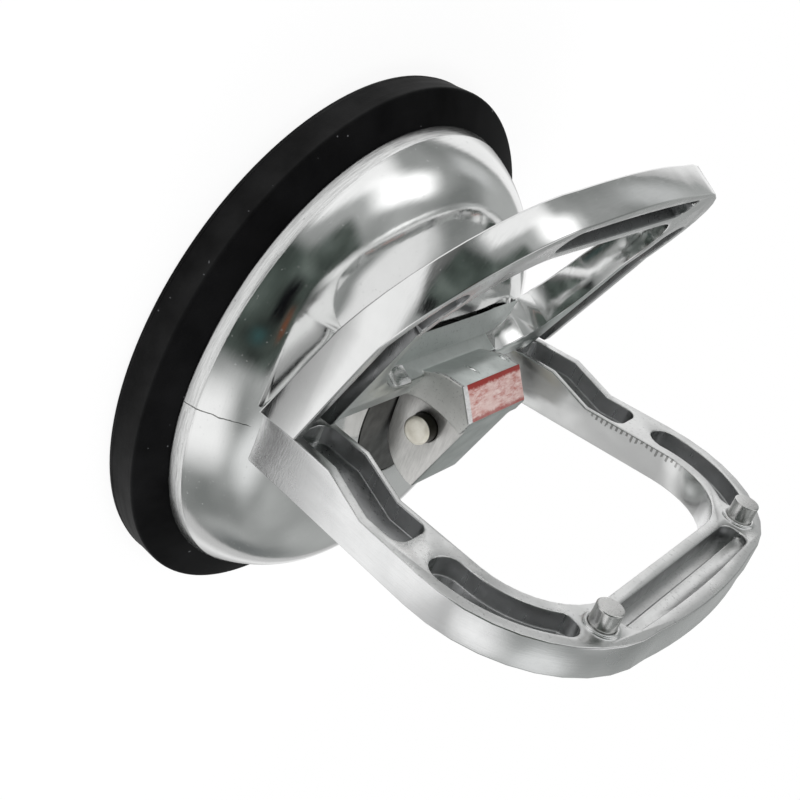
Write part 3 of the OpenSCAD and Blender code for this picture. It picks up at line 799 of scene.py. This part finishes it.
def steel(name, colour, rough):
    """Turned or plated metal with soft stains and a fine grain."""
    f = Finish(name)
    cloud = f.noise(420, 4)
    fine = f.noise(3000, 2)
    return f.done(
        f.drift(cloud, 0.3, 0.7, colour, 0.85),
        f.span(cloud, rough - 0.06, rough + 0.1),
        f.bump(fine, 0.08, 0.0001))


# Pieces

class LIFTER_OT_pad(bpy.types.Operator):
    """Make the rubber pad: the ring under the dome's rim and the middle that the stud lifts"""
    bl_idname = "lifter.pad"
    bl_label = "Rubber Pad"

    def execute(self, context):
        p = context.scene.lifter_pad
        black = rubber("black rubber", tuple(p.colour))
        for name, outline, body, node in (
                ("pad_ring", self.ring(p), "base", "suction_pad"),
                ("pad_middle", self.middle(), "lift", "pad_diaphragm")):
            piece = spun(name, eased(outline, 4), p.steps)
            piece.data.materials.append(black)
            finish_piece(piece, body, "rubber", node)
        return {"FINISHED"}

    @staticmethod
    def ring(p):
        """The ring's outline, with the parting line on its side and a shelf for the rim."""
        foot_r, wide_r, inner_r = 58.5 * MM, PAD_HIGH.x, 40.0 * MM
        side_z, top_z = 6.75 * MM, PAD_HIGH.z
        rim_r = DOME_HIGH.x
        seat_r, shelf_z = rim_r - 3.0 * MM, top_z - 0.9 * MM
        lip_r, lip_z = rim_r + 0.35 * MM, top_z - 0.16 * MM
        inner_ease, line_ease, lip_ease = 0.35 * MM, 0.05 * MM, 0.2 * MM
        lean = (wide_r - foot_r) / side_z
        line_z, line = p.parting_height, p.parting_size
        under, over = (
            (foot_r + lean * (line_z + k * line), line_z + k * line, line_ease) for k in (-1, 1))
        return [(inner_r, shelf_z, 0), (inner_r, 0, inner_ease), (foot_r, 0, p.edge_round),
                under, (foot_r + lean * line_z + line, line_z, line_ease), over,
                (wide_r, side_z, p.edge_round), (lip_r, lip_z, lip_ease), (rim_r, top_z, 0),
                (seat_r, top_z, 0), (seat_r, shelf_z, 0), (inner_r, shelf_z, 0)]

    @staticmethod
    def middle():
        """The lifting middle's outline."""
        edge_r, top_z = MIDDLE_HIGH.x, MIDDLE_HIGH.z
        return [(0, top_z, 0), (edge_r, top_z, 0.6 * MM), (edge_r, 0, 0.35 * MM), (0, 0, 0)]


class LIFTER_OT_dome(bpy.types.Operator):
    """Make the polished dome with its rim band, shoulder, crown and flat top"""
    bl_idname = "lifter.dome"
    bl_label = "Dome"

    def execute(self, context):
        d = context.scene.lifter_dome
        rim_r, rim_z, top_z = DOME_HIGH.x, PAD_HIGH.z, DOME_HIGH.z
        chamfer, band_ease, recess_ease = 0.25 * MM, 0.5 * MM, 0.25 * MM
        band = (rim_r - d.rim_lean, rim_z + d.rim_height)
        crown = swept(band, (band[0] - d.shoulder_lean, band[1] + d.shoulder_height),
                      (d.top_radius + d.crown_run, top_z), (d.top_radius, top_z))
        recess_r, recess_z = DISC_HIGH.x + 0.4 * MM, DISC_LOW.z
        bore_r = 8.58 * MM
        boss_r, boss_z = 22.0 * MM, top_z - 8.0 * MM
        outside = eased([(rim_r, rim_z + chamfer, 0), (rim_r, rim_z + 2 * chamfer, 0),
                         (*band, band_ease)] + [(*point, 0) for point in crown[1:]]
                        + [(recess_r, top_z, recess_ease), (recess_r, recess_z, 0),
                           (bore_r, recess_z, 0)], 5)
        under = [point for point in reversed(offset(crown, -d.wall))
                 if point[0] > boss_r + 0.5 * MM]
        inside = [(bore_r, boss_z), (boss_r, boss_z), (boss_r, top_z - d.wall)] + under \
            + [(rim_r - d.wall, rim_z), (rim_r - chamfer, rim_z), (rim_r, rim_z + chamfer)]
        dome = spun("dome", outside + inside, d.steps)
        dome.data.materials.append(polished_dome("polished dome", (0.86, 0.865, 0.86)))
        finish_piece(dome, "base", "cast_aluminium", "dome_shell")
        return {"FINISHED"}


def face_room(tree, polygon):
    """Free distance in front of a face, without end where nothing stands there."""
    hit = tree.ray_cast(polygon.center + polygon.normal * 0.02 * MM, polygon.normal)
    return hit[3] if hit[0] is not None else math.inf


def on_bar_floor(x, up, depth):
    """True on the floor of a crossbar's pocket."""
    return abs(x) < BAR_HALF and up > BAR_LOW and POCKET_DEPTH < depth < TROUGH_DEPTH


def casting(node, name, finishes, kind, plain, settings):
    """A handle's CAD copy with rounded edges and the finishes that kind() names."""
    piece = casting_copy(node, name)
    for finish in finishes.values():
        piece.data.materials.append(finish)
    order = list(finishes)
    tree = BVHTree.FromObject(piece, bpy.context.evaluated_depsgraph_get())
    for face in piece.data.polygons:
        face.material_index = order.index(kind(tree, face))
    bevelled(piece, settings.edge_round, settings.edge_segments, SHARP_ANGLE,
             frame["nodes"][node], plain)
    return piece


class LIFTER_OT_grip(bpy.types.Operator):
    """Make the fixed grip handle with rounded edges and its cast, linished and pocket faces"""
    bl_idname = "lifter.grip"
    bl_label = "Grip Handle"

    def execute(self, context):
        h = context.scene.lifter_handles
        metal = tuple(h.metal)
        finishes = {
            "face": cast("cast grip face", metal, 0.30),
            "side": satin("linished grip side", (0.88, 0.885, 0.885)),
            # Painted shade: the pockets' darker grey stands for the shade in the recesses
            "pocket": pocket("grip pocket painted shade", (0.56, 0.565, 0.57)),
            "opening": opening_side("grip opening side", metal),
        }
        piece = casting("grip_handle", "grip", finishes, self.kind, self.in_trough, h)
        self.flare(piece, h.foot_flare)
        smooth(piece, SMOOTH_ANGLE)
        finish_piece(piece, "base", "cast_aluminium", "grip_handle")
        return {"FINISHED"}

    @staticmethod
    def flare(piece, reach):
        """Draws the outer foot corners out over the dome."""
        for side in (-1, 1):
            only(piece)
            unpick(piece.data)
            for vertex in piece.data.vertices:
                at = vertex.co
                vertex.select = side * at.x > FLARE_OUT and at.z < PIN_Z + FLARE_TOP
            edit()
            bpy.ops.mesh.select_mode(type="VERT")
            bpy.ops.transform.translate(value=(side * reach, 0, FLARE_RISE * reach))
            leave()

    @staticmethod
    def sunk(at):
        """Depth of a point under the front face, which slopes back above the feet."""
        slope = min(max((at.z - PIN_Z - SLOPE_LOW) / SLOPE_RUN, 0), 1)
        return FOOT_FRONT - SETBACK * slope - at.y

    def in_trough(self, at):
        return on_bar_floor(at.x, at.z - PIN_Z, self.sunk(at))

    def kind(self, tree, face):
        """The finish of a face, by its way, its depth and the room in front of it."""
        at, way = face.center, face.normal.y
        if way > FACING:
            deep = self.sunk(at) > POCKET_DEPTH and not self.in_trough(at)
            return "pocket" if deep else "face"
        if way < -FACING:
            return "face"
        room = face_room(tree, face)
        if room == math.inf:
            return "side"
        return "pocket" if room < POCKET_ROOM and at.z > PIN_Z + FOOT_TOP else "opening"


class LIFTER_OT_lever(bpy.types.Operator):
    """Make the cam lever with rounded edges, its painted hub corner and milled faces"""
    bl_idname = "lifter.lever"
    bl_label = "Cam Lever"

    def execute(self, context):
        h = context.scene.lifter_handles
        finishes = {
            "face": cast("cast lever face", tuple(h.metal), 0.28),
            "side": polished("polished lever side", (0.86, 0.865, 0.86), 0.08),
            # Painted shade: the pockets' darker grey stands for the shade in the recesses
            "pocket": pocket("lever pocket painted shade", (0.36, 0.365, 0.37)),
            # Painted reflection: the hub's grey-green tint stands for the grey-green room that it
            # mirrors
            "hub": hub_casting("rough hub", (0.60, 0.635, 0.62)),
            "milled": milled("milled hub face", (0.80, 0.79, 0.77), (400, 400, 2600), 0.34),
            "paint": worn_paint("worn red paint", tuple(h.paint)),
            "hub end": cast("hub end face", (0.80, 0.80, 0.775), 0.46, 1900),
            # Painted reflection: the web's grey-green tint stands for the grey-green room that it
            # mirrors
            "web": cast("lever web", (0.66, 0.695, 0.68), 0.34, 1900),
        }
        piece = casting("lever_handle", "lever", finishes, self.kind, self.in_trough, h)
        smooth(piece, SMOOTH_ANGLE)
        finish_piece(piece, "lever", "cast_aluminium", "lever_handle")
        return {"FINISHED"}

    @staticmethod
    def sunk(flat):
        """Depth of an upright point under the front face, which tapers near the hub."""
        return flat.y - min(LEVER_FRONT + LEVER_TAPER * flat.z, ARM_FRONT)

    def in_trough(self, at):
        flat = OPEN_TURN @ (at - PIN)
        return on_bar_floor(at.x, flat.z, self.sunk(flat))

    def kind(self, tree, face):
        """The finish of a face, by its place, its way and its depth."""
        at, n = face.center - PIN, face.normal
        if abs(at.x) < HUB_HALF and at.y < HUB_BACK and at.z > HUB_LOW:
            if abs(n.x) > 0.9:
                return "milled" if abs(at.x) < HUB_END else "hub end"
            painted = n.dot(PAINT_WAY) > PAINT_DOT and at.y > PAINT_FRONT
            return "paint" if painted else "hub"
        way, flat = (OPEN_TURN @ n).y, OPEN_TURN @ at
        front = way < -FACING
        if flat.z < WEB_TOP and abs(at.x) < (WEB_FRONT_HALF if front else WEB_HALF):
            return "web"
        if front:
            return "pocket" if self.sunk(flat) > POCKET_DEPTH else "face"
        if way > FACING:
            return "side"
        return "pocket" if face_room(tree, face) < POCKET_ROOM else "side"


class LIFTER_OT_pins(bpy.types.Operator):
    """Make the stop pegs and the pivot pin with eased ends"""
    bl_idname = "lifter.pins"
    bl_label = "Pegs and Pin"

    def execute(self, context):
        middle = (PEG_HIGH + PEG_LOW) / 2
        radius = (PEG_HIGH.z - PEG_LOW.z) / 2
        pegs = [self.rod("stop_pegs_made", radius, PEG_HIGH.y - PEG_LOW.y,
                         (side * (PEG_HIGH.x - radius), middle.y, middle.z),
                         (math.pi / 2, 0, 0), 0.3 * MM) for side in (-1, 1)]
        only(pegs[0])
        pegs[1].select_set(True)
        bpy.ops.object.join()
        piece = named("stop_pegs_made")
        piece.data.materials.append(cast("turned peg", (0.70, 0.70, 0.69), 0.24, 2400))
        finish_piece(piece, "base", "cast_aluminium", "stop_pegs")
        pin = self.rod("pivot_pin_made", (PIN_HIGH.z - PIN_LOW.z) / 2, PIN_HIGH.x - PIN_LOW.x,
                       (0, 0, (PIN_HIGH.z + PIN_LOW.z) / 2), (0, math.pi / 2, 0), 0.7 * MM)
        pin.data.materials.append(pin_finish("pin steel"))
        finish_piece(pin, "lever", "ground_steel", "pivot_pin")
        return {"FINISHED"}

    @staticmethod
    def rod(name, radius, length, place, turn, ease):
        """A round rod, laid down by a turn, with its ends eased."""
        deselect()
        bpy.ops.mesh.primitive_cylinder_add(
            vertices=64, radius=radius, depth=length, location=place, rotation=turn)
        rod = named(name)
        bpy.ops.object.transform_apply()
        sharp = 40
        bevelled(rod, ease, 5, sharp)
        smooth(rod, sharp)
        return rod


class LIFTER_OT_inner(bpy.types.Operator):
    """Give the disc, stud, plate, bush and fasteners their metal finishes"""
    bl_idname = "lifter.inner"
    bl_label = "Inner Metal"

    def execute(self, context):
        finishes = {
            # Painted shade: the disc's dark grey stands for the shade under the hub
            "thrust_disc": steel("disc in painted shade", (0.16, 0.16, 0.155), 0.42),
            "pull_stud": steel("plated stud", (0.62, 0.62, 0.63), 0.30),
            "guide_bush": steel("bush bronze", (0.62, 0.42, 0.22), 0.32),
        }
        plated = steel("plated steel", (0.60, 0.60, 0.61), 0.34)
        for node in ("insert_plate", "nut_washer", "stud_nut", "foot_screws", "foot_washers"):
            finishes[node] = plated
        for node, finish in finishes.items():
            target = frame["nodes"][node]
            target.data.materials.clear()
            target.data.materials.append(finish)
        return {"FINISHED"}


class LIFTER_OT_stage(bpy.types.Operator):
    """Make the pale floor, the tent and cards, the soft lamps, the surroundings and the camera"""
    bl_idname = "lifter.stage"
    bl_label = "Stage"

    def execute(self, context):
        s = context.scene.lifter_stage
        self.floor(s.floor)
        self.tent()
        self.cards()
        self.lamps(s.key)
        self.world()
        self.camera(s.lens)
        context.scene.view_settings.view_transform = "Standard"
        return {"FINISHED"}

    @staticmethod
    def floor(colour):
        """A pale floor that looks white, with painted shade of its own for the metal to mirror."""
        deselect()
        bpy.ops.mesh.primitive_plane_add(size=6.0, location=(0, 0, -0.2 * MM))
        floor = named("floor")
        f = Finish("pale floor")
        f.put("Base Color", rgba(colour))
        f.put("Roughness", 0.9)
        x, y, _ = f.xyz()
        reach = f.length(x, y)
        # Painted shade for the metal to mirror: dark close to the pad as a painted shadow, pale
        # further out, dimmer in front, near black behind to the left
        tone = f.ramp(reach, (0.06, 0.25), (0.08, 0.48), (0.105, 0.95), (0.35, 0.92), (0.80, 0.55))
        tone = f.mix(f.between(y, -0.16, -0.07), f.mix(0.45, tone, 0.12), tone)
        behind = f.times(f.between(x, -0.11, -0.18), f.between(y, 0.12, 0.19))
        tone = f.mix(f.times(behind, 0.85), tone, (0.03, 0.033, 0.03))
        path = f.node("ShaderNodeLightPath")
        # Glossy rays see the painted shade, camera rays see plain white
        tone = f.mix(path.outputs["Is Glossy Ray"], 1.0, tone)
        white = f.node("ShaderNodeEmission", Color=tone, Strength=1.0)
        # A tenth of the lit floor shows close to the pad, for a soft shadow
        share = f.mix(f.between(reach, 0.10, 0.20), 0.9, 1.0)
        f.show(f.times(f.seen(path), share), f.shader.outputs[0], white.outputs[0])
        floor.data.materials.append(f.material)

    @staticmethod
    def lamps(key):
        """Two soft lamps that don't show in the metal."""
        for name, place, size, power in (
                ("key", (-0.1, -0.1, 0.9), 0.8, key), ("side", (-0.8, 0.5, 0.5), 0.6, 0.5 * key)):
            deselect()
            bpy.ops.object.light_add(type="AREA", location=place)
            lamp = named(name)
            lamp.data.shape = "SQUARE"
            lamp.data.size = size
            lamp.data.energy = power
            lamp.visible_glossy = False
            lamp.rotation_euler = (-Vector(place)).to_track_quat("-Z", "Y").to_euler()

    @staticmethod
    def only_mirrored(card, material):
        """A card that only shows in the metal's gloss."""
        card.data.materials.append(material)
        card.visible_camera = card.visible_diffuse = card.visible_shadow = False
        card.visible_transmission = card.visible_volume_scatter = False

    def tent(self):
        """A grey tent all round, which the polished metal mirrors."""
        deselect()
        bpy.ops.mesh.primitive_uv_sphere_add(
            segments=48, ring_count=24, radius=1.6, location=(0, 0, 0))
        tent = named("grey_tent")
        f = Finish("grey tent")
        soft = f.noise(1.1, 1.5)
        f.glow(f.ramp(soft, (0.32, (0.20, 0.21, 0.205)), (0.68, (0.42, 0.43, 0.425))))
        self.only_mirrored(tent, f.material)

    def card(self, name, toward, distance, size, tones, edge, roll=0.0, spots=2.0):
        """A soft-edged card in one tone or three, towards an azimuth and a height in degrees."""
        a, e = (math.radians(angle) for angle in toward)
        way = Vector((math.cos(e) * math.cos(a), math.cos(e) * math.sin(a), math.sin(e)))
        middle = Vector((0, 0, 0.03))
        deselect()
        bpy.ops.mesh.primitive_plane_add(size=1.0, location=way * distance + middle)
        card = named(name)
        card.rotation_euler = way.to_track_quat("Z", "Y").to_euler()
        card.rotation_euler.rotate_axis("Z", math.radians(roll))
        card.scale = (*size, 1)
        if not hasattr(tones[0], "__len__"):
            tones = (tones,) * 3
        f = Finish(name)
        tone = f.ramp(f.noise(spots, 2.0, 0.5, twist=0.4), *zip((0.34, 0.52, 0.68), tones))
        x, y = (f.math("ABSOLUTE", along) for along in f.xyz()[:2])
        f.glow(tone, f.times(f.between(x, 0.5, 0.5 - edge), f.between(y, 0.5, 0.5 - edge)))
        self.only_mirrored(card, f.material)

    def cards(self):
        """The dark and pale cards around the object."""
        white, pale = (1, 1, 1), (0.82, 0.82, 0.82)
        room = ((0.022, 0.027, 0.024), (0.066, 0.082, 0.073), (0.14, 0.165, 0.15))
        side = ((0.045, 0.055, 0.05), (0.07, 0.085, 0.075), (0.11, 0.13, 0.12))
        table = (
            ("room_card", (152, 27), 1.2, (1.45, 1.75), room, 0.16, 0, 2.6),
            ("black_card", (147, 34), 0.9, (0.44, 0.20), (0.004, 0.004, 0.005), 0.3, 8),
            ("warm_card", (158, 44), 0.95, (0.34, 0.10), (0.16, 0.055, 0.025), 0.4, 12),
            ("teal_card", (168, 30), 0.95, (0.20, 0.30), (0.035, 0.08, 0.08), 0.5),
            ("low_dark_card", (172, 6), 0.75, (0.26, 0.20), (0.006, 0.007, 0.007), 0.35),
            ("room_side_card", (112, 38), 1.15, (0.62, 0.66), side, 0.22),
            ("window_card", (67, 24), 1.2, (1.05, 0.56), (1.6, 1.6, 1.6), 0.38),
            ("high_card", (16, 65), 1.2, (1.20, 1.05), pale, 0.26),
            ("right_low_card", (26, 8), 1.2, (0.80, 0.36), (0.55, 0.56, 0.56), 0.40),
            ("strip_card", (93, 10), 1.3, (1.5, 0.46), white, 0.22),
            ("left_card", (-148, 14), 1.2, (1.35, 1.1), white, 0.38),
            ("left_high_card", (-115, 45), 1.2, (1.1, 0.9), (0.82, 0.83, 0.83), 0.42),
            # Painted shade: a dark grey card for the shaded ground low in front, which the dome
            # mirrors
            ("low_grey_card", (-74, 3), 1.0, (0.8, 0.40), (0.17, 0.18, 0.18), 0.45),
            ("top_card", (-60, 82), 1.3, (0.7, 0.7), white, 0.42),
        )
        for card in table:
            self.card(*card)

    @staticmethod
    def world():
        """Surroundings that look white and light the object more softly."""
        world = bpy.data.worlds.new("white surroundings")
        bpy.context.scene.world = world
        world.use_nodes = True
        w = Nodes(world.node_tree)
        soft = w.first("BACKGROUND")
        soft.inputs["Color"].default_value = rgba(1.0)
        soft.inputs["Strength"].default_value = 0.55
        white = w.node("ShaderNodeBackground", Color=rgba(1.0), Strength=1.0)
        w.show(w.seen(w.node("ShaderNodeLightPath")), soft.outputs[0], white.outputs[0])

    @staticmethod
    def camera(lens):
        """The camera, rolled so that the object leans in the picture."""
        deselect()
        bpy.ops.object.camera_add()
        camera = named("camera")
        place = (-0.23285, 0.13362, 0.13908)
        right = Vector((0.5642, 0.3267, 0.7583))
        up = Vector((0.2255, 0.8225, -0.5222))
        back = Vector((-0.7943, 0.4656, 0.3903))
        turn = Matrix((right, up, back)).transposed()
        camera.matrix_world = Matrix.Translation(place) @ turn.to_4x4()
        camera.data.sensor_width = 36.0
        camera.data.lens = lens
        camera.data.clip_start = 0.01
        bpy.context.scene.camera = camera


class LIFTER_PT_panel(bpy.types.Panel):
    """Pieces of the lifter"""
    bl_idname = "LIFTER_PT_panel"
    bl_label = "Hand Suction Lifter"
    bl_space_type = "VIEW_3D"
    bl_region_type = "UI"
    bl_category = "Lifter"

    def draw(self, context):
        for group in GROUPS:
            box = self.layout.box()
            held = getattr(context.scene, group)
            for name in held.__annotations__:
                box.prop(held, name)
        for made in PIECES:
            self.layout.operator(made.bl_idname)


GROUPS = {"lifter_pad": PadSettings, "lifter_dome": DomeSettings,
          "lifter_handles": HandleSettings, "lifter_stage": StageSettings}
PIECES = (LIFTER_OT_stage, LIFTER_OT_pad, LIFTER_OT_dome, LIFTER_OT_grip, LIFTER_OT_lever,
          LIFTER_OT_pins, LIFTER_OT_inner)
CLASSES = (*GROUPS.values(), *PIECES, LIFTER_PT_panel)


def register():
    for made in CLASSES:
        bpy.utils.register_class(made)
    for name, group in GROUPS.items():
        setattr(bpy.types.Scene, name, PointerProperty(type=group))


def unregister():
    for name in GROUPS:
        delattr(bpy.types.Scene, name)
    for made in reversed(CLASSES):
        bpy.utils.unregister_class(made)


def main():
    register()
    bpy.ops.lifter.stage()
    bpy.ops.lifter.pad()
    bpy.ops.lifter.dome()
    bpy.ops.lifter.grip()
    bpy.ops.lifter.lever()
    bpy.ops.lifter.pins()
    bpy.ops.lifter.inner()
    deselect()


if __name__ == "__main__":
    main()
